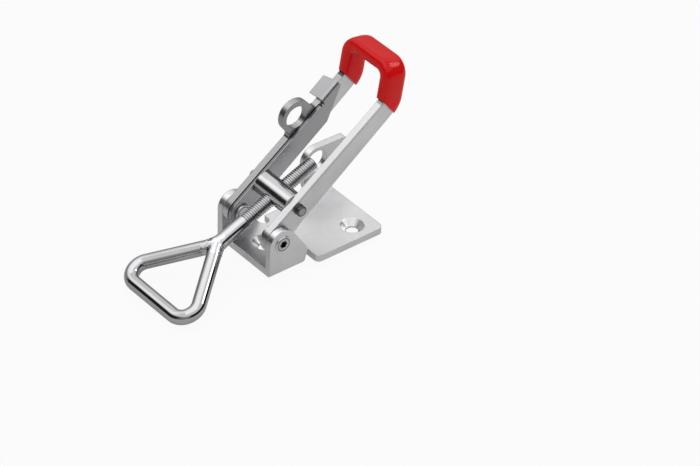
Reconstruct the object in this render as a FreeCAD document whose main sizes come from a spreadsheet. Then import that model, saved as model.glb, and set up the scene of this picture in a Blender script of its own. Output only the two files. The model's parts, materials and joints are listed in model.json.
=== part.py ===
"""Toggle latch: a bent base plate, a U-shaped lever with a dipped grip, a draw bar and a safety catch."""
import FreeCAD, Part
import math
import os
import Sketcher
from FreeCAD import Placement, Rotation, Vector

# Driving sizes in millimetres and degrees
SIZES = [
    ("sheet_thickness", 4.0),
    ("base_width", 45.0),
    ("bend_outside_radius", 2.0),
    ("pivot_height", 18.8),
    ("ear_radius", 8.2),
    ("ear_slant", 56.0),
    ("ear_foot", 14.0),
    ("ear_tip_height", 8.8),
    ("ear_tip_round", 3.5),
    ("neck_half_width", 12.5),
    ("flange_front", 19.8),
    ("flange_rear", 63.8),
    ("flange_near", 26.8),
    ("flange_far", 18.5),
    ("flange_corner_round", 3.0),
    ("tang_front", 49.2),
    ("tang_wall_near", 22.5),
    ("tang_bend_radius", 8.0),
    ("tang_notch_width", 4.0),
    ("tang_hole_x", 57.8),
    ("tang_hole_height", 20.3),
    ("tang_round", 8.6),
    ("tang_tip_x", 76.6),
    ("tang_tip_height", 28.5),
    ("tang_nose_x", 78.6),
    ("tang_nose_height", 21.8),
    ("tang_tip_round", 1.2),
    ("tang_nose_round", 2.0),
    ("padlock_hole", 13.0),
    ("screw_hole", 6.6),
    ("screw_head", 13.2),
    ("flange_screw_x", 51.3),
    ("flange_screw_y", -16.0),
    ("floor_screw_x", 5.4),
    ("lever_angle", 36.8),
    ("lever_play", 0.3),
    ("arm_round", 8.2),
    ("arm_low", 5.6),
    ("arm_heel_angle", 79.0),
    ("arm_taper", 1.6),
    ("arm_length", 88.5),
    ("tail_bend_radius", 7.9),
    ("tail_angle", 43.7),
    ("tail_length", 20.2),
    ("tail_corner_radius", 8.6),
    ("ring_x", 55.5),
    ("ring_rise", 13.0),
    ("ring_round", 9.4),
    ("ring_lean", 0.4),
    ("ring_foot_round", 2.5),
    ("grip_start", 89.4),
    ("grip_coat", 1.3),
    ("grip_edge_round", 1.8),
    ("rivet_shank", 8.0),
    ("rivet_head", 9.6),
    ("rivet_head_thickness", 1.0),
    ("rivet_button", 9.4),
    ("rivet_button_height", 0.7),
    ("rivet_edge", 0.3),
    ("washer_diameter", 13.0),
    ("star_tip", 2.5),
    ("star_root", 1.75),
    ("star_depth", 1.6),
    ("running_fit", 0.05),
    ("side_gap", 0.3),
    ("arm_gap", 0.4),
    ("catch_thickness", 1.8),
    ("catch_round", 7.8),
    ("catch_taper", 1.43),
    ("catch_heel_x", 14.0),
    ("catch_heel_low", 5.2),
    ("catch_corner_x", 65.0),
    ("catch_corner_low", 5.7),
    ("catch_end_x", 83.7),
    ("catch_end_rise", 4.9),
    ("catch_stroke", 6.0),
    ("tab_start", 70.9),
    ("tab_overhang", 4.2),
    ("tab_skew_front", 0.5),
    ("tab_skew_end", 1.6),
    ("tab_lift", 0.35),
    ("tab_bend_radius", 2.0),
    ("tab_relief", 1.3),
    ("trunnion_x", 19.1),
    ("trunnion_rise", 2.5),
    ("trunnion_diameter", 13.4),
    ("trunnion_stub", 6.0),
    ("trunnion_stub_proud", 2.6),
    ("trunnion_end_gap", 0.2),
    ("bar_tilt", 22.0),
    ("thread_diameter", 8.0),
    ("thread_rear", 25.2),
    ("thread_front", 23.1),
    ("thread_lead_in", 0.9),
    ("wire_diameter", 8.0),
    ("eye_apex", 42.6),
    ("eye_base", 86.4),
    ("eye_half_angle", 36.5),
    ("eye_corner_radius", 8.0),
    ("eye_neck_radius", 8.0),
]


class Size:
    """A number together with the sheet formula that gives it."""

    def __init__(self, value, text):
        self.value = value
        self.text = text

    def __add__(self, other):
        other = as_size(other)
        return Size(self.value + other.value, f"({self.text} + {other.text})")

    def __sub__(self, other):
        other = as_size(other)
        return Size(self.value - other.value, f"({self.text} - {other.text})")

    def __mul__(self, other):
        other = as_size(other)
        return Size(self.value * other.value, f"({self.text} * {other.text})")

    def __truediv__(self, other):
        other = as_size(other)
        return Size(self.value / other.value, f"({self.text} / {other.text})")

    def __neg__(self):
        return Size(-self.value, f"(0 - {self.text})")

    def __radd__(self, other):
        return as_size(other) + self

    def __rsub__(self, other):
        return as_size(other) - self

    def __rmul__(self, other):
        return as_size(other) * self


def as_size(number):
    """Give a plain number the same form as a size."""
    return number if isinstance(number, Size) else Size(number, repr(float(number)))


def sine(angle):
    return Size(math.sin(math.radians(angle.value)), f"sin({angle.text} * 1deg)")


def cosine(angle):
    return Size(math.cos(math.radians(angle.value)), f"cos({angle.text} * 1deg)")


def tangent(angle):
    return Size(math.tan(math.radians(angle.value)), f"tan({angle.text} * 1deg)")


doc = FreeCAD.newDocument("ToggleLatch")
sheet = doc.addObject("Spreadsheet::Sheet", "Sizes")
for row, (alias, number) in enumerate(SIZES, start=1):
    sheet.set(f"A{row}", alias)
    sheet.set(f"B{row}", str(number))
    sheet.setAlias(f"B{row}", alias)
doc.recompute()
size = {alias: Size(number, f"Sizes.{alias}") for alias, number in SIZES}


def bind(owner, **formulas):
    """Tie properties of an object to the sheet."""
    for name, formula in formulas.items():
        owner.setExpression(name, as_size(formula).text)


def new_body(label):
    body = doc.addObject("PartDesign::Body", label)
    body.Label = label
    return body


def origin_plane(body, role):
    return next(plane for plane in body.Origin.OriginFeatures if plane.Role == role)


def new_sketch(body, name, role, lift=None):
    """Start a sketch on one of the body's own planes, moved by lift along the plane's normal."""
    sketch = body.newObject("Sketcher::SketchObject", name)
    sketch.AttachmentSupport = [(origin_plane(body, role), "")]
    sketch.MapMode = "FlatFace"
    if lift is not None:
        sketch.setExpression("AttachmentOffset.Base.z", as_size(lift).text)
    return sketch


def hold(sketch, kind, *references, at):
    """Add one dimension to a sketch and tie it to the sheet."""
    index = sketch.addConstraint(Sketcher.Constraint(kind, *references, at.value))
    sketch.setExpression(f"Constraints[{index}]", at.text)


def arc_between(start, stop, radius):
    """The short arc from start to stop, counterclockwise for a positive radius."""
    chord = stop - start
    reach = abs(radius)
    rise = math.sqrt(max(reach ** 2 - chord.Length ** 2 / 4, 0.0))
    left = Vector(-chord.y, chord.x, 0).normalize()
    centre = (start + stop) / 2 + left * math.copysign(rise, radius)
    first, last = (start, stop) if radius > 0 else (stop, start)
    angles = [math.atan2(point.y - centre.y, point.x - centre.x) for point in (first, last)]
    return Part.ArcOfCircle(Part.Circle(centre, Vector(0, 0, 1), reach), *angles)


def trace(sketch, path, closed=True):
    """Draw a chain of lines and arcs. A corner is (x, y), or (x, y, radius) where an arc leaves it."""
    corners = [tuple(as_size(number) for number in corner) for corner in path]
    points = [Vector(corner[0].value, corner[1].value, 0) for corner in corners]
    links = len(corners) if closed else len(corners) - 1
    ends = []
    for index in range(links):
        start, stop = points[index], points[(index + 1) % len(points)]
        if len(corners[index]) == 2:
            edge = sketch.addGeometry(Part.LineSegment(start, stop))
            ends.append((edge, 1, 2))
            continue
        radius = corners[index][2]
        edge = sketch.addGeometry(arc_between(start, stop, radius.value))
        ends.append((edge, 1, 2) if radius.value > 0 else (edge, 2, 1))
        hold(sketch, "Radius", edge, at=radius if radius.value > 0 else -radius)
    for index, (edge, first, _) in enumerate(ends):
        before, _, last = ends[index - 1]
        if closed or index:
            sketch.addConstraint(Sketcher.Constraint("Coincident", before, last, edge, first))
        hold(sketch, "DistanceX", -1, 1, edge, first, at=corners[index][0])
        hold(sketch, "DistanceY", -1, 1, edge, first, at=corners[index][1])
    if not closed:
        edge, _, last = ends[-1]
        hold(sketch, "DistanceX", -1, 1, edge, last, at=corners[-1][0])
        hold(sketch, "DistanceY", -1, 1, edge, last, at=corners[-1][1])
    return sketch


def circle(sketch, x, y, radius):
    centre = Vector(as_size(x).value, as_size(y).value, 0)
    edge = sketch.addGeometry(Part.Circle(centre, Vector(0, 0, 1), as_size(radius).value))
    hold(sketch, "DistanceX", -1, 1, edge, 3, at=as_size(x))
    hold(sketch, "DistanceY", -1, 1, edge, 3, at=as_size(y))
    hold(sketch, "Radius", edge, at=as_size(radius))
    return sketch


def pad(body, sketch, length, both_ways=False):
    feature = body.newObject("PartDesign::Pad", sketch.Name + "Pad")
    feature.Profile = sketch
    feature.Midplane = both_ways
    bind(feature, Length=length)
    return feature


def cut(body, sketch, length=None, both_ways=False):
    """Cut against the sketch's normal, to a depth or right through."""
    feature = body.newObject("PartDesign::Pocket", sketch.Name + "Cut")
    feature.Profile = sketch
    feature.Midplane = both_ways
    if length is None:
        feature.Type = "ThroughAll"
    else:
        bind(feature, Length=length)
    return feature


def turn(body, sketch, axis):
    feature = body.newObject("PartDesign::Revolution", sketch.Name + "Turn")
    feature.Profile = sketch
    feature.ReferenceAxis = (sketch, [axis])
    feature.Angle = 360
    return feature


def near(first, second, slack=0.02):
    return abs(first - as_size(second).value) < slack


def runs_along(edge, direction):
    """Tell whether an edge is a straight line along a direction."""
    if edge.Curve.TypeId != "Part::GeomLine":
        return False
    return abs(abs(edge.Curve.Direction.dot(direction)) - 1) < 1e-3


def is_sharp(shape, edge):
    """Tell whether the two faces at an edge meet at an angle."""
    faces = shape.ancestorsOfType(edge, Part.Face)
    middle = edge.valueAt((edge.FirstParameter + edge.LastParameter) / 2)
    normals = [face.normalAt(*face.Surface.parameter(middle)) for face in faces]
    return len(normals) == 2 and normals[0].dot(normals[1]) < 0.99


def soften(body, name, amount, chosen, kind="Fillet"):
    """Fillet or chamfer the edges that the test picks."""
    doc.recompute()
    base = body.Tip
    edges = [f"Edge{number}" for number, edge in enumerate(base.Shape.Edges, start=1) if chosen(edge)]
    if not edges:
        raise ValueError(f"{name} picks no edge")
    feature = body.newObject(f"PartDesign::{kind}", name)
    feature.Base = (base, edges)
    bind(feature, **{"Radius" if kind == "Fillet" else "Size": amount})
    return feature


ACROSS = Vector(0, 1, 0)
UPRIGHT = Vector(0, 0, 1)
half_width = size["base_width"] / 2
ear_inside = half_width - size["sheet_thickness"]
arm_outside = ear_inside - size["lever_play"]
arm_inside = arm_outside - size["sheet_thickness"]
catch_outside = arm_inside - size["arm_gap"]
catch_inside = catch_outside - size["catch_thickness"]
head_outside = catch_inside - size["side_gap"]
head_inside = head_outside - size["rivet_head_thickness"]
padlock_radius = size["padlock_hole"] / 2
pivot_bore = size["rivet_shank"] / 2 + size["running_fit"]


def base_floor(body):
    """The flat of the sheet: floor, neck between the relief slots, and flange."""
    foot, front, rear = size["ear_foot"], size["flange_front"], size["flange_rear"]
    slot = (front - foot) / 2
    slot_mouth = size["neck_half_width"] + slot
    notch = size["tang_notch_width"] / 2
    bend_line = size["tang_wall_near"] - size["tang_bend_radius"]
    notch_end = bend_line - notch
    return trace(new_sketch(body, "Flat", "XY_Plane"), [
        (-size["ear_radius"], -half_width),
        (foot, -half_width),
        (foot, -slot_mouth, -slot),
        (foot + slot, -size["neck_half_width"], -slot),
        (front, -slot_mouth),
        (front, -size["flange_near"]),
        (rear, -size["flange_near"]),
        (rear, bend_line),
        (size["tang_front"], bend_line, -notch),
        (size["tang_front"] - notch, notch_end, -notch),
        (size["tang_front"] - 2 * notch, bend_line),
        (size["tang_front"] - 2 * notch, size["flange_far"]),
        (front, size["flange_far"]),
        (front, slot_mouth, -slot),
        (foot + slot, size["neck_half_width"], -slot),
        (foot, slot_mouth),
        (foot, half_width),
        (-size["ear_radius"], half_width),
    ])


def base_ear(body, name, lift):
    """One ear: a round top about the pivot, a slanted back and a foot drawn in below its tip."""
    radius, height, slant = size["ear_radius"], size["pivot_height"], size["ear_slant"]
    slant_x = radius * sine(slant)
    slant_z = height + radius * cosine(slant)
    tip_x = slant_x + (slant_z - size["ear_tip_height"]) / tangent(slant)
    sketch = trace(new_sketch(body, name, "XZ_Plane", lift), [
        (-radius, 0),
        (size["ear_foot"], 0),
        (tip_x, size["ear_tip_height"]),
        (slant_x, slant_z, radius),
        (0, height + radius, radius),
        (-radius, height),
    ])
    pad(body, sketch, size["sheet_thickness"])


def base_tang(body):
    """The padlock tang: a wide bend up from the flange, and a wall with a hole and a nose."""
    thickness, wall = size["sheet_thickness"], size["tang_wall_near"]
    inside = size["tang_bend_radius"]
    outside = inside + thickness
    bend_line = wall - inside
    bend = trace(new_sketch(body, "TangBend", "YZ_Plane", size["tang_front"]), [
        (bend_line, 0, outside),
        (wall + thickness, outside),
        (wall, outside, -inside),
        (bend_line, thickness),
    ])
    pad(body, bend, size["flange_rear"] - size["tang_front"])
    hole_x, hole_z, radius = size["tang_hole_x"], size["tang_hole_height"], size["tang_round"]
    front = hole_x - radius
    wall_sketch = trace(new_sketch(body, "TangWall", "XZ_Plane", -(wall + thickness)), [
        (front, outside),
        (size["flange_rear"], outside),
        (size["tang_nose_x"], size["tang_nose_height"]),
        (size["tang_tip_x"], size["tang_tip_height"]),
        (hole_x, hole_z + radius, radius),
        (front, hole_z),
    ])
    pad(body, wall_sketch, thickness)
    hole = circle(new_sketch(body, "TangHole", "XZ_Plane", -wall), hole_x, hole_z, padlock_radius)
    cut(body, hole)


def screw_hole(body, name, x, y):
    """A hole for a countersunk M6 screw."""
    radius, rim = size["screw_hole"] / 2, size["screw_head"] / 2
    cut(body, circle(new_sketch(body, name, "XY_Plane", size["sheet_thickness"]), x, y, radius))
    cone = body.newObject("PartDesign::SubtractiveCone", name + "Sink")
    cone.AttachmentSupport = [(origin_plane(body, "XY_Plane"), "")]
    cone.MapMode = "FlatFace"
    bind(cone, Radius1=radius, Radius2=rim, Height=rim - radius)
    cone.setExpression("AttachmentOffset.Base.x", as_size(x).text)
    cone.setExpression("AttachmentOffset.Base.y", as_size(y).text)
    cone.setExpression("AttachmentOffset.Base.z", (size["sheet_thickness"] - (rim - radius)).text)


def make_base_plate():
    body = new_body("base_plate")
    pad(body, base_floor(body), size["sheet_thickness"])
    base_ear(body, "NearEar", ear_inside)
    base_ear(body, "FarEar", -half_width)
    base_tang(body)
    pivots = circle(new_sketch(body, "PivotHoles", "XZ_Plane"), 0, size["pivot_height"],
                    size["rivet_shank"] / 2)
    cut(body, pivots, both_ways=True)
    screw_hole(body, "FlangeScrew", size["flange_screw_x"], size["flange_screw_y"])
    screw_hole(body, "FloorScrew", size["floor_screw_x"], 0)

    def at_ear_foot(edge):
        middle = edge.CenterOfMass
        return runs_along(edge, Vector(1, 0, 0)) and near(middle.z, 0) and near(abs(middle.y), half_width)

    def at_ear_tip(edge):
        middle = edge.CenterOfMass
        return (runs_along(edge, ACROSS) and near(middle.z, size["ear_tip_height"])
                and abs(middle.y) < half_width.value and abs(middle.y) > ear_inside.value)

    def at_flange_corner(edge):
        middle = edge.CenterOfMass
        return runs_along(edge, UPRIGHT) and near(middle.y, -size["flange_near"])

    def at_tang_tip(edge):
        return (runs_along(edge, ACROSS) and near(edge.CenterOfMass.z, size["tang_tip_height"])
                and near(edge.CenterOfMass.x, size["tang_tip_x"]))

    def at_tang_nose(edge):
        return runs_along(edge, ACROSS) and near(edge.CenterOfMass.x, size["tang_nose_x"])

    soften(body, "EarBends", size["bend_outside_radius"], at_ear_foot)
    soften(body, "EarTips", size["ear_tip_round"], at_ear_tip)
    soften(body, "FlangeCorners", size["flange_corner_round"], at_flange_corner)
    soften(body, "TangTip", size["tang_tip_round"], at_tang_tip)
    soften(body, "TangNose", size["tang_nose_round"], at_tang_nose)
    return body


# The lever lies along its own X axis, with the pivot at its origin
arm_top = size["arm_round"] / cosine(size["arm_taper"]) - size["arm_length"] * tangent(size["arm_taper"])
arm_middle = (arm_top - size["arm_low"]) / 2
arm_depth = arm_top + size["arm_low"]
tail_centre_z = arm_middle + size["tail_bend_radius"]


def tail_point(along, above):
    """A point of the bent-up tail, at a distance along it and above its middle line."""
    swing = size["tail_bend_radius"] - above
    x = size["arm_length"] + swing * sine(size["tail_angle"]) + along * cosine(size["tail_angle"])
    z = tail_centre_z - swing * cosine(size["tail_angle"]) + along * sine(size["tail_angle"])
    return x, z


def tail_outline(coat):
    """The side view of the tail from where it starts to bend up, with an even coat round it."""
    half = arm_depth / 2 + coat
    start = size["arm_length"]
    return [
        (start, arm_middle - half, size["tail_bend_radius"] + half),
        tail_point(as_size(0), -half),
        tail_point(size["tail_length"] + coat, -half),
        tail_point(size["tail_length"] + coat, half),
        (*tail_point(as_size(0), half), -(size["tail_bend_radius"] - half)),
        (start, arm_middle + half),
    ]


def hollow_outline(coat, left):
    """Everything between the arms, up to the inner face of the cross piece."""
    wall = size["tail_length"] - size["sheet_thickness"] - coat
    reach = 4 * arm_depth
    low, high = tail_point(wall, -reach), tail_point(wall, reach)
    return [(left, low[1]), low, high, (left, high[1])]


def round_tail_corners(body, coat):
    """Round the U's two corners, outside and inside."""
    slope = math.radians(size["tail_angle"].value)
    across_tail = Vector(-math.sin(slope), 0, math.cos(slope))

    def corner_at(distance):
        def chosen(edge):
            return runs_along(edge, across_tail) and near(abs(edge.CenterOfMass.y), distance)
        return chosen

    coat = as_size(coat)
    soften(body, "OutsideCorners", size["tail_corner_radius"] + coat, corner_at(arm_outside + coat))
    inside_radius = size["tail_corner_radius"] - size["sheet_thickness"] - coat
    soften(body, "InsideCorners", inside_radius, corner_at(arm_inside - coat))


def make_lever_bar():
    body = new_body("lever_bar")
    radius, low, heel = size["arm_round"], size["arm_low"], size["arm_heel_angle"]
    heel_x = radius * cosine(heel) + (radius * sine(heel) - low) * tangent(heel)
    side = trace(new_sketch(body, "Side", "XZ_Plane"), [
        (heel_x, -low),
        *tail_outline(as_size(0)),
        (radius * sine(size["arm_taper"]), radius * cosine(size["arm_taper"]), radius),
        (-radius, 0, radius),
        (radius * cosine(heel), -radius * sine(heel)),
    ])
    pad(body, side, 2 * arm_outside, both_ways=True)
    channel = trace(new_sketch(body, "Channel", "XZ_Plane"), hollow_outline(as_size(0), -2 * radius))
    cut(body, channel, 2 * arm_inside, both_ways=True)
    round_tail_corners(body, 0)
    ring_x, ring_z, ring_radius = size["ring_x"], size["ring_rise"], size["ring_round"]
    rim_x = ring_x + size["ring_lean"]
    ring = trace(new_sketch(body, "Ring", "XZ_Plane", -arm_outside), [
        (rim_x - ring_radius, 0),
        (rim_x + ring_radius, 0),
        (rim_x + ring_radius, ring_z, ring_radius),
        (rim_x, ring_z + ring_radius, ring_radius),
        (rim_x - ring_radius, ring_z),
    ])
    pad(body, ring, size["sheet_thickness"])

    def at_ring_foot(edge):
        middle = edge.CenterOfMass
        return (runs_along(edge, ACROSS) and near(abs(middle.x - rim_x.value), ring_radius)
                and middle.z > 0 and middle.z < ring_z.value - 1)

    soften(body, "RingFeet", size["ring_foot_round"], at_ring_foot)
    cut(body, circle(new_sketch(body, "RingHole", "XZ_Plane", -arm_inside), ring_x, ring_z, padlock_radius))
    cut(body, circle(new_sketch(body, "PivotHoles", "XZ_Plane"), 0, 0, pivot_bore), both_ways=True)
    stub_bore = size["trunnion_stub"] / 2 + size["running_fit"]
    trunnion_holes = circle(new_sketch(body, "TrunnionHoles", "XZ_Plane"), size["trunnion_x"],
                            size["trunnion_rise"], stub_bore)
    cut(body, trunnion_holes, both_ways=True)
    return body


def make_grip_sleeve(lever_bar):
    """The dipped sleeve: the tail's own form with an even coat, less the bar inside it."""
    skin = new_body("grip_skin")
    coat = size["grip_coat"]
    bare = size["arm_length"] - size["sheet_thickness"]
    side = trace(new_sketch(skin, "Side", "XZ_Plane"), tail_outline(coat))
    pad(skin, side, 2 * (arm_outside + coat), both_ways=True)
    channel = trace(new_sketch(skin, "Channel", "XZ_Plane"), hollow_outline(coat, bare))
    cut(skin, channel, 2 * (arm_inside - coat), both_ways=True)
    round_tail_corners(skin, coat)

    def at_outside_edge(edge):
        if near(edge.BoundBox.XMax, size["arm_length"]):
            return False
        return near(abs(edge.CenterOfMass.y), arm_outside + coat) and is_sharp(skin.Tip.Shape, edge)

    soften(skin, "SoftEdges", size["grip_edge_round"], at_outside_edge)
    lip = trace(new_sketch(skin, "Lip", "XZ_Plane"), [
        (bare, -arm_depth),
        (size["grip_start"], -arm_depth),
        (size["grip_start"], arm_depth),
        (bare, arm_depth),
    ])
    cut(skin, lip, both_ways=True)
    sleeve = doc.addObject("Part::Cut", "grip_sleeve")
    sleeve.Label = "grip_sleeve"
    sleeve.Base = skin
    sleeve.Tool = lever_bar
    return sleeve


def make_pivot_rivet(label):
    """A rivet along its own Z axis, from the flat head inside to the button outside."""
    body = new_body(label)
    shank, head, button = (size[name] / 2 for name in ("rivet_shank", "rivet_head", "rivet_button"))
    length = half_width - head_inside
    top = length + size["rivet_button_height"]
    profile = trace(new_sketch(body, "Profile", "XZ_Plane"), [
        (0, 0),
        (head - size["rivet_edge"], 0),
        (head, size["rivet_edge"]),
        (head, size["rivet_head_thickness"]),
        (shank, size["rivet_head_thickness"]),
        (shank, length),
        (button, length),
        (button, top - size["rivet_edge"]),
        (button - size["rivet_edge"], top),
        (0, top),
    ])
    turn(body, profile, "V_Axis")
    points = []
    for index in range(12):
        reach = size["star_root"] if index % 2 else size["star_tip"]
        angle = math.radians(30 * index)
        points.append((reach * math.cos(angle), reach * math.sin(angle)))
    cut(body, trace(new_sketch(body, "Star", "XY_Plane", top), points), size["star_depth"])
    return body


def make_spacer_washer():
    """The washer that stands in for the safety catch on the near side."""
    body = new_body("spacer_washer")
    ring = new_sketch(body, "Ring", "XZ_Plane", catch_inside)
    circle(ring, 0, 0, size["washer_diameter"] / 2)
    circle(ring, 0, 0, pivot_bore)
    pad(body, ring, size["catch_thickness"])
    return body


def make_safety_catch():
    """The thin plate inside the far arm, with its thumb tab bent out over the arm."""
    body = new_body("safety_catch")
    radius, taper, end_x = size["catch_round"], size["catch_taper"], size["catch_end_x"]
    plate_top = radius / cosine(taper) - end_x * tangent(taper)
    plate = trace(new_sketch(body, "Plate", "XZ_Plane", -catch_outside), [
        (size["catch_heel_x"], -size["catch_heel_low"]),
        (size["catch_corner_x"], -size["catch_corner_low"]),
        (end_x, size["catch_end_rise"]),
        (end_x, plate_top),
        (radius * sine(taper), radius * cosine(taper), radius),
        (-radius, 0, radius),
        (0, -radius),
    ])
    pad(body, plate, size["catch_thickness"])
    taper_drop = size["tab_start"] * tangent(size["arm_taper"])
    arm_top_at_tab = size["arm_round"] / cosine(size["arm_taper"]) - taper_drop
    tab_under = arm_top_at_tab + size["tab_lift"]
    tab_top = tab_under + size["catch_thickness"]
    root = trace(new_sketch(body, "TabRoot", "XZ_Plane", -catch_outside), [
        (size["tab_start"], 0),
        (end_x, size["catch_end_rise"]),
        (end_x, tab_top),
        (size["tab_start"], tab_top),
    ])
    pad(body, root, size["catch_thickness"])
    tab_edge = arm_outside + size["tab_overhang"]
    tab_square = catch_inside + size["tab_bend_radius"] + size["arm_gap"]
    tab = trace(new_sketch(body, "Tab", "XY_Plane", tab_under), [
        (size["tab_start"], catch_inside),
        (end_x, catch_inside),
        (end_x, tab_square),
        (end_x - size["tab_skew_end"], tab_edge),
        (size["tab_start"] - size["tab_skew_front"], tab_edge),
        (size["tab_start"], tab_square),
    ])
    pad(body, tab, size["catch_thickness"])

    def at_tab_bend(edge):
        middle = edge.CenterOfMass
        return (runs_along(edge, Vector(1, 0, 0)) and near(middle.z, tab_top)
                and near(middle.y, catch_inside))

    soften(body, "TabBend", size["tab_bend_radius"], at_tab_bend)
    relief_z = radius / cosine(taper) - size["tab_start"] * tangent(taper)
    relief = circle(new_sketch(body, "TabRelief", "XZ_Plane"), size["tab_start"] - size["tab_relief"],
                    relief_z, size["tab_relief"])
    cut(body, relief, both_ways=True)
    cut(body, circle(new_sketch(body, "PivotHole", "XZ_Plane"), 0, 0, pivot_bore), both_ways=True)
    stub = size["trunnion_stub"] / 2 + size["arm_gap"] / 2
    x, high = size["trunnion_x"], size["trunnion_rise"]
    low = high - x * sine(size["catch_stroke"])
    slot = trace(new_sketch(body, "StubSlot", "XZ_Plane"), [
        (x + stub, low),
        (x + stub, high, stub),
        (x, high + stub, stub),
        (x - stub, high),
        (x - stub, low, stub),
        (x, low - stub, stub),
    ])
    cut(body, slot, both_ways=True)
    return body


def make_trunnion():
    """The cross pin, turned about its own Y axis, with the draw bar's hole along X."""
    body = new_body("trunnion")
    thick, thin = size["trunnion_diameter"] / 2, size["trunnion_stub"] / 2
    near_end = arm_inside - size["trunnion_end_gap"]
    far_end = catch_inside - size["side_gap"]
    tip = arm_outside + size["trunnion_stub_proud"]
    chamfer = size["rivet_edge"]
    profile = trace(new_sketch(body, "Profile", "XY_Plane"), [
        (0, -tip),
        (thin - chamfer, -tip),
        (thin, -tip + chamfer),
        (thin, -near_end),
        (thick - chamfer, -near_end),
        (thick, -near_end + chamfer),
        (thick, far_end - chamfer),
        (thick - chamfer, far_end),
        (thin, far_end),
        (thin, tip - chamfer),
        (thin - chamfer, tip),
        (0, tip),
    ])
    turn(body, profile, "V_Axis")
    bore = size["thread_diameter"] / 2 + size["running_fit"]
    cut(body, circle(new_sketch(body, "BarHole", "YZ_Plane"), 0, 0, bore), both_ways=True)
    return body


def wire_run(body, name, section_sketch, section_x, path):
    """A round wire swept along an open path in the body's XY plane."""
    section = circle(section_sketch, section_x, 0, size["wire_diameter"] / 2)
    spine = trace(new_sketch(body, name + "Spine", "XY_Plane"), path, closed=False)
    pipe = body.newObject("PartDesign::AdditivePipe", name)
    pipe.Profile = section
    pipe.Spine = (spine, [f"Edge{number}" for number in range(1, len(path))])
    return pipe


def make_draw_bar():
    """The threaded rod, and its plain end bent into a triangle whose end comes back to the neck."""
    body = new_body("draw_bar")
    rod_end = new_sketch(body, "Rod", "YZ_Plane", -size["thread_front"])
    rod = circle(rod_end, 0, 0, size["thread_diameter"] / 2)
    pad(body, rod, size["thread_front"] + size["thread_rear"])

    def at_rod_end(edge):
        box = edge.BoundBox
        return near(box.XMin, size["thread_rear"]) and near(box.XMax, size["thread_rear"])

    soften(body, "LeadIn", size["thread_lead_in"], at_rod_end, kind="Chamfer")
    angle, apex, base = size["eye_half_angle"], size["eye_apex"], size["eye_base"]
    bend, neck = size["eye_corner_radius"], size["eye_neck_radius"]
    corner_y = (base - apex) * tangent(angle)
    corner_run = bend * tangent((angle + 90) / 2)
    neck_run = neck * tangent(angle / 2)
    side_x = -base + corner_run * cosine(angle)
    side_y = corner_y - corner_run * sine(angle)
    wire_run(body, "FarWire", new_sketch(body, "FarSection", "YZ_Plane", -size["thread_front"]), 0, [
        (-size["thread_front"], 0),
        (-apex + neck_run, 0, -neck),
        (-apex - neck_run * cosine(angle), neck_run * sine(angle)),
        (side_x, side_y, bend),
        (-base, corner_y - corner_run),
        (-base, 0),
    ])
    wire_run(body, "NearWire", new_sketch(body, "NearSection", "XZ_Plane"), -base, [
        (-base, 0),
        (-base, corner_run - corner_y, bend),
        (side_x, -side_y),
        (-apex, 0),
    ])
    return body


def rest_at(node, point, rotation):
    node.Placement = Placement(point, rotation)


pivot = Vector(0, 0, size["pivot_height"].value)
lever_turn = Rotation(ACROSS, -size["lever_angle"].value)
bar_turn = Rotation(ACROSS, -size["bar_tilt"].value)
trunnion_point = pivot + lever_turn.multVec(Vector(size["trunnion_x"].value, 0, size["trunnion_rise"].value))

base_plate = make_base_plate()
lever_bar = make_lever_bar()
grip_sleeve = make_grip_sleeve(lever_bar)
near_rivet = make_pivot_rivet("pivot_rivet_near")
far_rivet = make_pivot_rivet("pivot_rivet_far")
spacer_washer = make_spacer_washer()
safety_catch = make_safety_catch()
trunnion = make_trunnion()
draw_bar = make_draw_bar()

rest_at(lever_bar, pivot, lever_turn)
rest_at(grip_sleeve.Base, pivot, lever_turn)
rest_at(near_rivet, pivot - ACROSS * head_inside.value, Rotation(Vector(1, 0, 0), 90))
rest_at(far_rivet, pivot + ACROSS * head_inside.value, Rotation(Vector(1, 0, 0), -90))
rest_at(spacer_washer, pivot, Rotation())
rest_at(safety_catch, pivot, lever_turn)
rest_at(trunnion, trunnion_point, bar_turn)
rest_at(draw_bar, trunnion_point, bar_turn)
doc.recompute()

NODES = [base_plate, lever_bar, grip_sleeve, near_rivet, far_rivet, spacer_washer, safety_catch, trunnion,
         draw_bar]

for item in doc.Objects:
    if "Invalid" in item.State or "Error" in item.State:
        raise RuntimeError(f"{item.Name} failed: {item.State}")
for node in NODES:
    if node.Shape.isNull() or not node.Shape.isValid():
        raise RuntimeError(f"{node.Label} has no valid shape")

os.makedirs("parts", exist_ok=True)
for node in NODES:
    node.Shape.exportStep(f"parts/{node.Label}.step")
    box = node.Shape.BoundBox
    print(f"{node.Label}: {len(node.Shape.Solids)} solid, volume {node.Shape.Volume:.1f}, "
          f"X {box.XMin:.2f} to {box.XMax:.2f}, Y {box.YMin:.2f} to {box.YMax:.2f}, "
          f"Z {box.ZMin:.2f} to {box.ZMax:.2f}")
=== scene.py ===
"""The toggle latch's finishes, its cut thread, its welded eye and its dipped grip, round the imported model."""
import json
import math

import bmesh
import bpy
from mathutils import Matrix, Vector, noise


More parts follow.
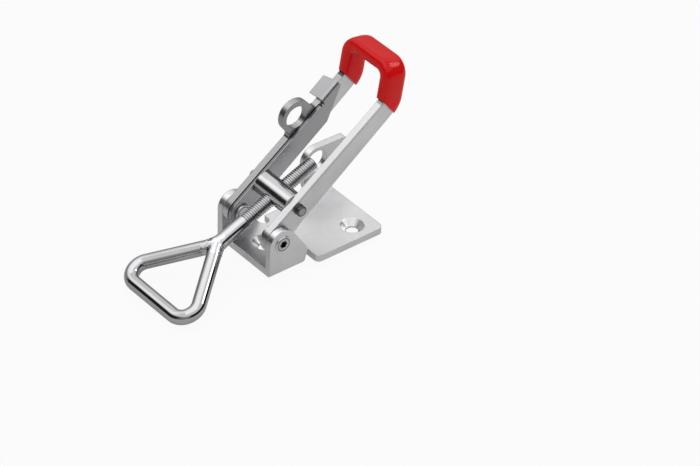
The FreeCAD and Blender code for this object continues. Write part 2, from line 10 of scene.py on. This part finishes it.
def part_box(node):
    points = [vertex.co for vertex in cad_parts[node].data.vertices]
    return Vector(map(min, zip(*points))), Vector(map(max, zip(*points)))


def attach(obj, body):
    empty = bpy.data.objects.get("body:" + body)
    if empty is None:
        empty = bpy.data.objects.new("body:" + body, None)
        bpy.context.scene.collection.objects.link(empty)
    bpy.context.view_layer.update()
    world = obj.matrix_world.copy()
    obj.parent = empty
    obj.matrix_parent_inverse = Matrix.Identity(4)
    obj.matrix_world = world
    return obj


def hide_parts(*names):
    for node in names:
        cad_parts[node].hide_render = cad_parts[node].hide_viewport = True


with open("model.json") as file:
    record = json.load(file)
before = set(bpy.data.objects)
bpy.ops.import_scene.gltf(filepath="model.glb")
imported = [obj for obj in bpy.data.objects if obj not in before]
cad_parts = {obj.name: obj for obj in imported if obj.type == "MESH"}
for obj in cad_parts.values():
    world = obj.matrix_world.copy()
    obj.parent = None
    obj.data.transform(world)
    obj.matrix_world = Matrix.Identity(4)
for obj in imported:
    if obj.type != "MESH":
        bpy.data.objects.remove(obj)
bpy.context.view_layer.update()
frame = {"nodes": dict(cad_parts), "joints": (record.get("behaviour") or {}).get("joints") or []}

# The camera stands where the photograph was taken from: over two metres off with a long lens,
# before the latch's near side and towards its eye, looking down at it.
azimuth, elevation, roll = (math.radians(degrees) for degrees in (-39.422, 37.002, 1.548))
standpoint = Vector((-1.106405, -1.422648, 1.371693))
ahead = Vector((-math.sin(azimuth) * math.cos(elevation), math.cos(azimuth) * math.cos(elevation),
                -math.sin(elevation)))
level = Vector((math.cos(azimuth), math.sin(azimuth), 0))
above = level.cross(ahead)
right = level * math.cos(roll) + above * math.sin(roll)
up = above * math.cos(roll) - level * math.sin(roll)
camera = bpy.data.objects.new("camera", bpy.data.cameras.new("camera"))
bpy.context.scene.collection.objects.link(camera)
facing = Matrix((right, up, -ahead)).transposed().to_4x4()
camera.matrix_world = Matrix.Translation(standpoint) @ facing
camera.data.lens = 223.06
camera.data.sensor_width = 36
camera.data.clip_start = 0.05
bpy.context.scene.camera = camera
bpy.context.scene.view_settings.view_transform = "Standard"

# The floor is a round white table top, just below the lowest point of the eye. To the camera it is
# white with the latch's soft shadow on it, and to the metal it is the bright ground that it mirrors.
floor_radius, floor_height = 0.9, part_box("draw_bar")[0].z - 0.0002


class Term:
    """A socket among shader nodes. Arithmetic on it, and its methods, add the nodes that work it out."""

    def __init__(self, tree, socket=None):
        self.tree = tree
        self.socket = socket

    def node(self, kind, inputs=(), output=0, stops=(), **settings):
        """Add one node: its settings and its ramp's stops, then the values or links of its sockets."""
        made = self.tree.nodes.new("ShaderNode" + kind)
        for setting, value in settings.items():
            setattr(made, setting, value)
        for index, (place, grey) in enumerate(stops):
            ramp = made.color_ramp.elements
            stop = ramp[index] if index < 2 else ramp.new(place)
            stop.position = place
            stop.color = (grey, grey, grey, 1)
        for name, value in dict(inputs).items():
            if isinstance(value, Term):
                self.tree.links.new(value.socket, made.inputs[name])
            else:
                made.inputs[name].default_value = value
        return Term(self.tree, made.outputs[output] if made.outputs else None)

    def maths(self, operation, first, second):
        return self.node("Math", {0: first, 1: second}, operation=operation)

    def __add__(self, other):
        return self.maths("ADD", self, other)

    def __radd__(self, other):
        return self.maths("ADD", other, self)

    def __sub__(self, other):
        return self.maths("SUBTRACT", self, other)

    def __rsub__(self, other):
        return self.maths("SUBTRACT", other, self)

    def __mul__(self, other):
        return self.maths("MULTIPLY", self, other)

    def __rmul__(self, other):
        return self.maths("MULTIPLY", other, self)

    def __pow__(self, power):
        return self.maths("POWER", self, power)

    def __abs__(self):
        return self.maths("ABSOLUTE", self, 0)

    def clamped(self):
        """This term, held between 0 and 1."""
        return self.node("Clamp", {0: self})

    def past(self, limit, soft):
        """0 up to the limit, and from there up to 1 over the width soft."""
        return ((self - limit) * (1 / soft)).clamped()

    def short_of(self, limit, soft):
        """0 from the limit on, and 1 where this term is lower by soft or more."""
        return ((limit - self) * (1 / soft)).clamped()

    def axes(self):
        """The x, y and z of a place or a direction."""
        parts = self.node("SeparateXYZ", {0: self}).socket.node
        return [Term(self.tree, part) for part in parts.outputs]

    def mixed(self, colour, other):
        """The first colour where this term is 0, and the other where it is 1."""
        return self.node("Mix", {0: self, 6: colour, 7: other}, output=2, data_type="RGBA")


def new_finish(name):
    """An empty material, and a term to build it from."""
    material = bpy.data.materials.new(name)
    material.use_nodes = True
    material.node_tree.nodes.clear()
    return material, Term(material.node_tree)


bpy.ops.object.select_all(action="DESELECT")
bpy.ops.mesh.primitive_circle_add(vertices=96, radius=floor_radius, fill_type="NGON",
                                  location=(0, 0, floor_height))
bpy.ops.object.transform_apply(location=True, rotation=True, scale=True)
floor = bpy.context.object
floor.name = "floor"
table, start = new_finish("white_table")
seen = start.node("LightPath", output="Is Camera Ray")
reflected = start.node("LightPath", output="Is Glossy Ray")
backward = start.node("TexCoord", output="Object").axes()[1]
whiteness = seen * 0.93 + reflected * backward.short_of(0.1, 0.25) * 0.46
lit = start.node("BsdfDiffuse", {"Color": (0.80, 0.80, 0.80, 1)})
bright = start.node("Emission", {"Color": (1, 1, 1, 1), "Strength": 1.0})
start.node("OutputMaterial", {"Surface": start.node("MixShader", {0: whiteness, 1: lit, 2: bright})})
floor.data.materials.append(table)

# The room is a pale tent: white to the camera, and to the metal light overhead and grey all round.
# Dark cards stand up to about 35 degrees high in it, on both sides of the camera and before the
# latch's near side, and draw the dark streaks along the wire.
tent = bpy.data.worlds.new("tent")
bpy.context.scene.world = tent
tent.use_nodes = True
tent.node_tree.nodes.clear()
start = Term(tent.node_tree)
rightward, backward, upward = start.node("TexCoord", output="Generated").axes()
height = upward * 0.5 + 0.5
toward_camera = 0.5 - rightward * 0.283 - backward * 0.412
walls = start.node("ValToRGB", {0: height}, stops=(
    (0.0, 0.60), (0.46, 0.30), (0.58, 0.25), (0.68, 0.50), (0.80, 0.93), (1.0, 0.85)))
side_cards = start.node("ValToRGB", {0: height}, stops=(
    (0.0, 0.60), (0.46, 0.30), (0.49, 0.015), (0.77, 0.015), (0.80, 0.60), (0.84, 0.93), (1.0, 0.85)))
near_card = start.node("ValToRGB", {0: height}, stops=(
    (0.0, 0.60), (0.46, 0.30), (0.49, 0.015), (0.74, 0.015), (0.79, 0.90), (1.0, 0.85)))
at_sides = start.node("ValToRGB", {0: toward_camera}, stops=(
    (0.0, 0.0), (0.25, 0.0), (0.37, 1.0), (0.75, 1.0), (0.90, 0.35), (1.0, 0.3)))
at_near_side = (rightward * 3.0 - backward * 5.0 - 2.2).clamped()
surroundings = at_near_side.mixed(at_sides.mixed(walls, side_cards), near_card)
seen = start.node("LightPath", output="Is Camera Ray")
reflected = start.node("LightPath", output="Is Glossy Ray")
ambient = start.node("Background", {"Color": (1, 1, 1, 1), "Strength": 0.38})
mirrored = start.node("Background", {"Color": surroundings, "Strength": 1.25})
white = start.node("Background", {"Color": (1, 1, 1, 1), "Strength": 1.0})
lighting = start.node("MixShader", {0: reflected, 1: ambient, 2: mirrored})
start.node("OutputWorld", {"Surface": start.node("MixShader", {0: seen, 1: lighting, 2: white})})

# Three soft lamps look at the latch: a broad one overhead, a small bright one at the near right,
# and a weak one at the rear left that lifts the far sides.
latch_middle = Vector((0.01, 0, 0.04))


def softbox(name, place, width, depth, power):
    """A rectangular lamp, turned to the latch."""
    lamp = bpy.data.lights.new(name, "AREA")
    lamp.shape = "RECTANGLE"
    lamp.size, lamp.size_y, lamp.energy = width, depth, power
    holder = bpy.data.objects.new(name, lamp)
    bpy.context.scene.collection.objects.link(holder)
    holder.location = place
    holder.rotation_euler = (latch_middle - Vector(place)).to_track_quat("-Z", "Y").to_euler()


softbox("overhead", (-0.08, 0.05, 0.75), 0.85, 0.6, 1.2)
softbox("window", (0.57, -0.27, 0.54), 0.25, 0.25, 0.85)
softbox("rear_left", (-0.35, 0.55, 0.62), 0.5, 0.35, 0.25)

# The base plate is pressed from 4 mm steel sheet, with two ears and the padlock tang bent up and
# its screw holes countersunk, then barrel-polished and zinc-plated to a soft sheen.
# Near black that the masks below mix in: painted shade, and on the thread's roots oil as well.
oil_and_painted_shade = (0.03, 0.03, 0.032, 1)


def zinc(name, colour, dull, grain, streaks, edge=0, painted_shade_and_oil=None):
    """Bright zinc on steel: a faint cloudy tone, fine grain, drawing lines, and polished edges."""
    material, start = new_finish(name)
    place = start.node("TexCoord", output="Object")
    cloud = start.node("TexNoise", {"Vector": place, "Scale": 55, "Detail": 4, "Roughness": 0.65})
    stretched = start.node("Mapping", {"Vector": place, "Scale": streaks})
    lines = start.node("TexNoise", {"Vector": stretched, "Scale": 1, "Detail": 2})
    speck = start.node("TexNoise", {"Vector": place, "Scale": 1900, "Detail": 2, "Roughness": 0.7})
    darker = (*(0.80 * part for part in colour), 1)
    lighter = (*(1.08 * part for part in colour), 1)
    tone = (cloud * 1.2 + lines * 0.25 - 0.17).mixed(darker, lighter)
    # Where a mask is given, near black is mixed into the tone: painted shade, with oil too on the thread's
    # roots.
    if painted_shade_and_oil:
        tone = painted_shade_and_oil(place).mixed(tone, oil_and_painted_shade)
    roughness = dull + (cloud - 0.5) * 0.16 + (speck - 0.5) * 0.10 + (lines - 0.5) * 0.06
    relief = {"Strength": grain, "Distance": 0.00008, "Height": speck * 0.6 + lines * 0.4}
    if edge:
        relief["Normal"] = start.node("Bevel", {"Radius": edge}, samples=6)
    bump = start.node("Bump", relief)
    start.node("OutputMaterial", {"Surface": start.node("BsdfPrincipled", {
        "Base Color": tone, "Metallic": 1.0, "Roughness": roughness, "Normal": bump})})
    return material


def dress(name, material):
    """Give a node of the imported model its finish."""
    for holder in frame["nodes"][name].material_slots:
        holder.material = material


dress("base_plate", zinc("zinc_plated_sheet", (0.71, 0.71, 0.72), 0.32, 0.25, (90, 900, 90), 0.0006))

# The lever is a U bent from the same sheet on edge, with the padlock ring on its far arm. The
# punch has rolled its outer edges round, and a fine dark line of painted shade runs under them,
# and it is zinc-plated like the base.
joints = {joint["name"]: joint for joint in frame["joints"]}
pivot = Vector(joints["lever_pivot"]["pos_m"])
trunnion_middle = Vector(joints["trunnion_turn"]["pos_m"])
lever_angle = math.radians(36.8)
arm_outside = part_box("lever_bar")[1].y
arm_edge, arm_taper = 0.0082, 0.0279
pivot_hole_reach, trunnion_hole_reach = 0.0045, 0.0034
rolled_edge = 0.0011
merge_reach, sliver = 0.000002, 0.000003


def lever_axes(place):
    """The place along the lever, across it upwards, and sideways, as the lever lies at rest."""
    x, y, z = place.axes()
    z = z - pivot.z
    along = x * math.cos(lever_angle) + z * math.sin(lever_angle)
    across = z * math.cos(lever_angle) - x * math.sin(lever_angle)
    return along, across, y


def strip_painted_shade(place):
    """Painted shade: a dark line under each rolled edge, the far arm's darker edge, and the bends."""
    along, across, y = lever_axes(place)
    below_edge = arm_edge - along * arm_taper - across
    line = abs(below_edge - 0.0013).short_of(0.0002, 0.0002)
    outside = abs(y).past(arm_outside - 0.0001, 0.00005)
    far_edge_painted_shade = below_edge.short_of(0.0004, 0.0002) * y.past(0, 0.001)
    bend = along.past(0.0872, 0.0004) * below_edge.short_of(0.0008, 0.00025)
    # All three marks are painted shade, mixed into the strip's colour as near black.
    return (line * outside * 0.85 + far_edge_painted_shade * 0.42 + bend * 0.5).clamped()


def pick(piece):
    """Make a piece the active object, and the only one selected."""
    bpy.ops.object.select_all(action="DESELECT")
    bpy.context.view_layer.objects.active = piece
    piece.select_set(True)


def round_hole_at(place):
    """Whether a place in an arm is at the pivot's hole or at the trunnion's."""
    holes = (pivot, pivot_hole_reach), (trunnion_middle, trunnion_hole_reach)
    return any(math.hypot(place.x - hole.x, place.z - hole.z) < reach for hole, reach in holes)


lever = bpy.data.objects.new("lever_strip", frame["nodes"]["lever_bar"].data.copy())
bpy.context.scene.collection.objects.link(lever)
pick(lever)
bpy.ops.object.mode_set(mode="EDIT")
bpy.ops.mesh.select_all(action="SELECT")
bpy.ops.mesh.remove_doubles(threshold=merge_reach)
bpy.ops.mesh.dissolve_limited(angle_limit=math.radians(0.8))
bpy.ops.mesh.select_all(action="DESELECT")
bpy.ops.mesh.select_mode(type="EDGE")
shape = bmesh.from_edit_mesh(lever.data)
for edge in shape.edges:
    ends = [corner.co for corner in edge.verts]
    outside = all(abs(abs(end.y) - arm_outside) < 0.00002 for end in ends)
    sharp = len(edge.link_faces) == 2 and edge.calc_face_angle() > math.radians(40)
    edge.select_set(outside and sharp and not any(round_hole_at(end) for end in ends))
bmesh.update_edit_mesh(lever.data)
bpy.ops.mesh.bevel(offset=rolled_edge, segments=4, profile=0.5, clamp_overlap=True)
bpy.ops.mesh.select_all(action="SELECT")
bpy.ops.mesh.dissolve_degenerate(threshold=sliver)
bpy.ops.object.mode_set(mode="OBJECT")
bpy.ops.object.shade_smooth_by_angle(angle=math.radians(32))
lever.data.materials.clear()
lever.data.materials.append(
    zinc("zinc_plated_strip", (0.67, 0.67, 0.68), 0.31, 0.22, (120, 700, 120), 0.0003, strip_painted_shade))
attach(lever, "lever")
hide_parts("lever_bar")

# The safety catch is pressed from thinner sheet and zinc-plated. It lies inside the far arm, on the
# far rivet, and its thumb tab is bent out over the arm. Painted shade darkens the slit beside it.
catch_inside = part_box("safety_catch")[0].y
catch_edge, catch_taper = 0.0078, 0.02496


def slit_painted_shade(place):
    """Painted shade along the catch's upper edge, on the side of the arm and as far as the tab."""
    along, across, y = lever_axes(place)
    below_edge = catch_edge - along * catch_taper - across
    edge = below_edge.short_of(0.0003, 0.000125)
    before_tab = along.short_of(0.0702, 0.0005)
    beside_arm = y.past(catch_inside + 0.0003, 0.0002)
    return edge * before_tab * beside_arm * 0.60


dress("safety_catch", zinc("zinc_plated_thin_sheet", (0.42, 0.42, 0.43), 0.36, 0.25, (90, 900, 90),
                           0.0003, slit_painted_shade))

# The spacer washer is turned from bar and barrel-plated, so it is brighter than the sheet. It
# fills the near side's gap between the arm and the rivet's inner head.
turned_grey, turned_lines = (0.56, 0.56, 0.57), (300, 2500, 300)
dress("spacer_washer", zinc("zinc_plated_turned", turned_grey, 0.18, 0.15, turned_lines, 0.0003))


# The trunnion is turned and plated in the same way, with a barrel between the arms that the draw
# bar screws through. Its two pins turn in the arms and stand out of them, with painted shade on their ends.
def pin_painted_shade(place):
    """Painted shade on the pins outside the arms, darkest in a rim round each end."""
    x, y, z = place.axes()
    x = x - trunnion_middle.x
    z = z - trunnion_middle.z
    rim = ((x * x + z * z) ** 0.5).past(0.0019, 0.0004)
    outside = abs(y).past(arm_outside - 0.0004, 0.00005)
    return outside * (rim * 0.5 + 0.35)


dress("trunnion", zinc("zinc_plated_trunnion", turned_grey, 0.16, 0.15, turned_lines, 0.0003, pin_painted_shade))


# The two pivot rivets are short and turned as well, one for each ear and its arm. Each has a star
# recess in its outer head, darkened with painted shade, and a darker ring round the head.
ring_radius, recess_radius = 0.0036, 0.0027
in_ear, head_face = 0.0190, -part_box("pivot_rivet_near")[0].y


def rivet_painted_shade_and_ring(place):
    """The star recess, darkened with painted shade, and a darker ring round the head."""
    x, y, z = place.axes()
    z = z - pivot.z
    radius = (x * x + z * z) ** 0.5
    ring = abs(radius - ring_radius).short_of(0.0005, 0.0003125)
    in_head = abs(y).past(in_ear, 0.0002) * abs(y).short_of(head_face + 0.0002, 0.000667)
    core = radius.short_of(recess_radius, 0.00005)
    return (ring * 0.75 + in_head * core).clamped()


rivet_zinc = zinc("zinc_plated_rivet", (0.68, 0.68, 0.69), 0.22, 0.15, turned_lines, 0.0003, rivet_painted_shade_and_ring)
for rivet in ("pivot_rivet_near", "pivot_rivet_far"):
    dress(rivet, rivet_zinc)

# The draw bar is 8 mm bright wire. One end is cut with an M8 thread, and the other is bent round
# into the eye, with its end welded back on the neck. It is built along X, from the trunnion's
# middle, and tilted to its place at the end.
bar_way = joints["draw_bar_screw"]["axis"]
bar_tilt = math.atan2(bar_way[2], bar_way[0])
wire_radius = 0.004
thread_rear, thread_front = 0.0252, -0.0231
pitch, root, worn_radius = 0.00125, 0.00331, 0.00382
flat_root, flank, crest = 0.25 * pitch, 0.3125 * pitch, 0.125 * pitch
spare_turns, all_turns = 3, 45
front_spare, rear_spare = 0.00123, 0.00081


def thread_oil_and_painted_shade(place):
    """The thread's roots are dark with oil and painted shade, and its crests are worn bright."""
    x, y, z = place.axes()
    side = (z - trunnion_middle.z) * math.cos(bar_tilt) - (x - trunnion_middle.x) * math.sin(bar_tilt)
    return ((y * y + side * side) ** 0.5).short_of(worn_radius, 0.001053)


def modified(piece, kind, **settings):
    """Give a piece a modifier with these settings, and apply it."""
    pick(piece)
    modifier = piece.modifiers.new(kind, kind)
    for setting, value in settings.items():
        setattr(modifier, setting, value)
    bpy.ops.object.modifier_apply(modifier=modifier.name)


def select_where(test):
    """In edit mode, select only the vertices whose place passes the test."""
    bpy.ops.mesh.select_all(action="DESELECT")
    shape = bmesh.from_edit_mesh(bpy.context.object.data)
    for corner in shape.verts:
        corner.select_set(test(corner.co))
    shape.select_flush(True)
    bmesh.update_edit_mesh(bpy.context.object.data)


def draw_on(*step):
    """Extrude what is selected, by a step along X, Y and Z."""
    bpy.ops.mesh.extrude_region_move(TRANSFORM_OT_translate={"value": step})


# One tooth is drawn as a line and screwed along the bar, past both ends of the thread, where it is
# cut off and closed.
bpy.ops.object.select_all(action="DESELECT")
bpy.ops.mesh.primitive_plane_add(size=0.001, location=(0, 0, 0))
thread = bpy.context.object
thread.name = "draw_bar_thread"
bpy.ops.object.mode_set(mode="EDIT")
bpy.ops.mesh.select_mode(type="VERT")
bpy.ops.mesh.select_all(action="SELECT")
bpy.ops.mesh.merge(type="CENTER")
bpy.ops.transform.translate(value=(thread_front - spare_turns * pitch, 0, root))
draw_on(flat_root, 0, 0)
draw_on(flank, 0, wire_radius - root)
draw_on(crest, 0, 0)
draw_on(flank, 0, root - wire_radius)
bpy.ops.object.mode_set(mode="OBJECT")
modified(thread, "SCREW", axis="X", angle=math.tau, screw_offset=pitch, iterations=all_turns, steps=40,
         render_steps=40, use_merge_vertices=True, merge_threshold=merge_reach)
bpy.ops.object.mode_set(mode="EDIT")
bpy.ops.mesh.select_all(action="SELECT")
bpy.ops.mesh.remove_doubles(threshold=0.000003)
for cut, past in ((thread_front - front_spare, -1), (thread_rear + rear_spare, 1)):
    bpy.ops.mesh.select_all(action="SELECT")
    bpy.ops.mesh.bisect(plane_co=(cut, 0, 0), plane_no=(past, 0, 0), clear_outer=True, threshold=0.000001)
    select_where(lambda place: abs(place.x - cut) < 0.000005)
    bpy.ops.mesh.edge_face_add()
bpy.ops.mesh.select_all(action="SELECT")
bpy.ops.mesh.normals_make_consistent(inside=False)
bpy.ops.object.mode_set(mode="OBJECT")

# A blank with a chamfered end trims the thread to its length and gives it its lead-in. The thread's
# last turn runs a millimetre over the plain wire.
lead_in, overlap = 0.0009, 0.0010
blank_front, blank_rear, blank_radius = thread_front - overlap, thread_rear - lead_in, wire_radius + 0.00001
bpy.ops.object.select_all(action="DESELECT")
bpy.ops.mesh.primitive_cylinder_add(vertices=72, radius=blank_radius, depth=blank_rear - blank_front,
                                    location=((blank_rear + blank_front) / 2, 0, 0),
                                    rotation=(0, math.radians(90), 0))
bpy.ops.object.transform_apply(location=True, rotation=True, scale=True)
blank = bpy.context.object
bpy.ops.object.mode_set(mode="EDIT")
select_where(lambda place: place.x > blank_rear - 0.0001)
draw_on(lead_in, 0, 0)
narrowed = 1 - lead_in / blank_radius
bpy.ops.transform.resize(value=(1, narrowed, narrowed), center_override=(thread_rear, 0, 0))
bpy.ops.object.mode_set(mode="OBJECT")
modified(thread, "BOOLEAN", operation="INTERSECT", object=blank)
bpy.data.objects.remove(blank)

# The wire is one round section, drawn straight and spun round each bend, back to the neck. Its
# first half millimetre is chamfered, inside the thread's last turn.
half_degrees = 36.5
corner_degrees = half_degrees + 90
half_angle = math.radians(half_degrees)
neck_bend, eye_bend = 0.008, 0.008
eye_apex, eye_base = -0.0426, -0.0864
wire_chamfer = 0.0005
neck_run = neck_bend * math.tan(half_angle / 2)
corner_run = eye_bend * math.tan(math.radians(corner_degrees) / 2)
neck_start = eye_apex + neck_run
corner_x = eye_base + eye_bend
half_base = (eye_apex - eye_base) * math.tan(half_angle)
base_end = half_base - corner_run
side_x = eye_base + corner_run * math.cos(half_angle)
side_y = half_base - corner_run * math.sin(half_angle)
neck_end = Vector((eye_apex - neck_run * math.cos(half_angle), neck_run * math.sin(half_angle), 0))


def swing(centre, axis, degrees, steps):
    """Spin what is selected round a centre, to draw a bend."""
    bpy.ops.mesh.spin(steps=steps, angle=math.radians(degrees), center=centre, axis=axis)


bpy.ops.object.select_all(action="DESELECT")
bpy.ops.mesh.primitive_circle_add(vertices=64, radius=wire_radius - wire_chamfer, fill_type="NGON",
                                  location=(thread_front, 0, 0), rotation=(0, math.radians(90), 0))
bpy.ops.object.transform_apply(location=True, rotation=True, scale=True)
wire = bpy.context.object
wire.name = "draw_bar_wire"
bpy.ops.object.mode_set(mode="EDIT")
bpy.ops.mesh.select_all(action="SELECT")
draw_on(-wire_chamfer, 0, 0)
widened = wire_radius / (wire_radius - wire_chamfer)
bpy.ops.transform.resize(value=(1, widened, widened), center_override=(thread_front, 0, 0))
draw_on(neck_start - thread_front + wire_chamfer, 0, 0)
swing((neck_start, neck_bend, 0), (0, 0, 1), half_degrees, 12)
draw_on(side_x - neck_end.x, side_y - neck_end.y, 0)
swing((corner_x, base_end, 0), (0, 0, 1), -corner_degrees, 42)
draw_on(0, -2 * base_end, 0)
swing((corner_x, -base_end, 0), (0, 0, 1), -corner_degrees, 42)
draw_on(eye_apex - side_x, side_y, 0)
bpy.ops.mesh.select_all(action="SELECT")
bpy.ops.mesh.normals_make_consistent(inside=False)
bpy.ops.object.mode_set(mode="OBJECT")

# The weld is a lumpy bead where the wire's end meets the neck: the two wires blended together
# within a ball round the joint. The bead is fullest at the middle, and sinks into the wire at the
# ball's edge.
weld_middle = Vector((eye_apex - 0.0012, 0, 0))
weld_reach = 0.0088
fullness, lumpiness, sunk = 0.00050, 0.00085, 0.00006
weld = wire.copy()
weld.data = wire.data.copy()
weld.name = "neck_weld"
bpy.context.scene.collection.objects.link(weld)
bpy.ops.object.select_all(action="DESELECT")
bpy.ops.mesh.primitive_uv_sphere_add(segments=48, ring_count=24, radius=weld_reach, location=weld_middle)
bpy.ops.object.transform_apply(location=True, rotation=True, scale=True)
ball = bpy.context.object
modified(weld, "REMESH", mode="VOXEL", voxel_size=0.00035)
modified(weld, "BOOLEAN", operation="INTERSECT", object=ball)
modified(weld, "REMESH", mode="VOXEL", voxel_size=0.00033)
modified(weld, "SMOOTH", factor=0.5, iterations=14)
bpy.data.objects.remove(ball)
for corner in weld.data.vertices:
    fade = max(0.0, 1 - ((corner.co - weld_middle).length / weld_reach) ** 2)
    lump = noise.noise(corner.co * 240) + 0.15 * noise.noise(corner.co * 700)
    corner.co += corner.normal * (fullness * fade + lumpiness * fade * lump - sunk * (1 - fade))

# All three are tilted to the trunnion. The wire is drawn bright, and the bead is a little duller.
thread_zinc = zinc("zinc_plated_thread", (0.68, 0.68, 0.69), 0.24, 0.05, (60, 60, 60), painted_shade_and_oil=thread_oil_and_painted_shade)
wire_zinc = zinc("zinc_plated_wire", (0.48, 0.48, 0.49), 0.10, 0.03, (60, 60, 60))
bead_zinc = zinc("zinc_plated_weld", (0.58, 0.58, 0.59), 0.14, 0.12, (60, 60, 60))
for piece, finish in ((thread, thread_zinc), (wire, wire_zinc), (weld, bead_zinc)):
    pick(piece)
    piece.rotation_euler = (0, -bar_tilt, 0)
    piece.location = trunnion_middle
    bpy.ops.object.transform_apply(location=True, rotation=True, scale=True)
    bpy.ops.object.mode_set(mode="EDIT")
    bpy.ops.mesh.select_all(action="SELECT")
    bpy.ops.mesh.remove_doubles(threshold=merge_reach)
    bpy.ops.mesh.dissolve_degenerate(threshold=sliver)
    bpy.ops.object.mode_set(mode="OBJECT")
    bpy.ops.object.shade_smooth_by_angle(angle=math.radians(35))
    piece.data.materials.clear()
    piece.data.materials.append(finish)
    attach(piece, "draw")
    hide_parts("draw_bar")

# The grip is soft red vinyl, dipped over the lever's bent-up end in one coat, so all its edges are
# round. It is one open tube of the coat's outline, swept up the near arm, across and down the far
# arm in the lever's own axes, and then given the coat's thickness inwards.
tail_degrees = 43.7
tail_angle = math.radians(tail_degrees)
arm_length, arm_middle, tail_bend = 0.0885, 0.0000656, 0.0079
grip_mouth, coat = 0.0894, 0.0013
half_thick, half_wide, roundness = 0.0039, 0.0071, 2 / 3.2
arm_y, corner_centre_y, corner_start = 0.0158, 0.0096, 0.0116
tail_way = Vector((math.cos(tail_angle), 0, math.sin(tail_angle)))
tail_across = Vector((-math.sin(tail_angle), 0, math.cos(tail_angle)))
bend_middle = Vector((arm_length, 0, arm_middle + tail_bend))
corner_middle = bend_middle - tail_bend * tail_across + corner_start * tail_way
corner_side = Vector((0, corner_centre_y, 0))

bpy.ops.object.select_all(action="DESELECT")
bpy.ops.mesh.primitive_circle_add(vertices=40, radius=1)
grip = bpy.context.object
grip.name = "dipped_grip"
for corner in grip.data.vertices:
    across, upwards = (math.copysign(abs(part) ** roundness, part) for part in corner.co.xy)
    corner.co = (arm_length, half_thick * across - arm_y, half_wide * upwards + arm_middle)
bpy.ops.object.mode_set(mode="EDIT")
bpy.ops.mesh.select_mode(type="VERT")
bpy.ops.mesh.select_all(action="SELECT")
swing(bend_middle, (0, 1, 0), tail_degrees, 12)
draw_on(*(tail_way * corner_start))
swing(corner_middle - corner_side, tail_across, -90, 14)
draw_on(*(corner_side * 2))
swing(corner_middle + corner_side, tail_across, -90, 14)
draw_on(*(tail_way * -corner_start))
swing(bend_middle, (0, 1, 0), -tail_degrees, 12)
bpy.ops.mesh.select_all(action="SELECT")
bpy.ops.mesh.remove_doubles(threshold=0.000001)
bpy.ops.mesh.bisect(plane_co=(grip_mouth, 0, 0), plane_no=(-1, 0, 0), clear_outer=True, threshold=0.000001)
bpy.ops.mesh.select_all(action="SELECT")
bpy.ops.mesh.normals_make_consistent(inside=False)
bpy.ops.object.mode_set(mode="OBJECT")
modified(grip, "SOLIDIFY", thickness=coat, offset=-1)
grip.rotation_euler = (0, -lever_angle, 0)
grip.location = pivot
bpy.ops.object.transform_apply(location=True, rotation=True, scale=True)
bpy.ops.object.shade_smooth_by_angle(angle=math.radians(40))

vinyl, start = new_finish("red_dipped_grip")
place = start.node("TexCoord", output="Object")
pooled = start.node("TexNoise", {"Vector": place, "Scale": 160, "Detail": 2})
fine = start.node("TexNoise", {"Vector": place, "Scale": 900, "Detail": 1})
red = pooled.mixed((0.84, 0.005, 0.006, 1), (0.97, 0.008, 0.009, 1))
bump = start.node("Bump", {"Strength": 0.10, "Distance": 0.0002, "Height": pooled * 0.85 + fine * 0.15})
start.node("OutputMaterial", {"Surface": start.node("BsdfPrincipled", {
    "Base Color": red, "Roughness": 0.12 + (pooled - 0.5) * 0.05, "Normal": bump,
    "Specular IOR Level": 0.2})})
grip.data.materials.append(vinyl)
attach(grip, "lever")
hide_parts("grip_sleeve")
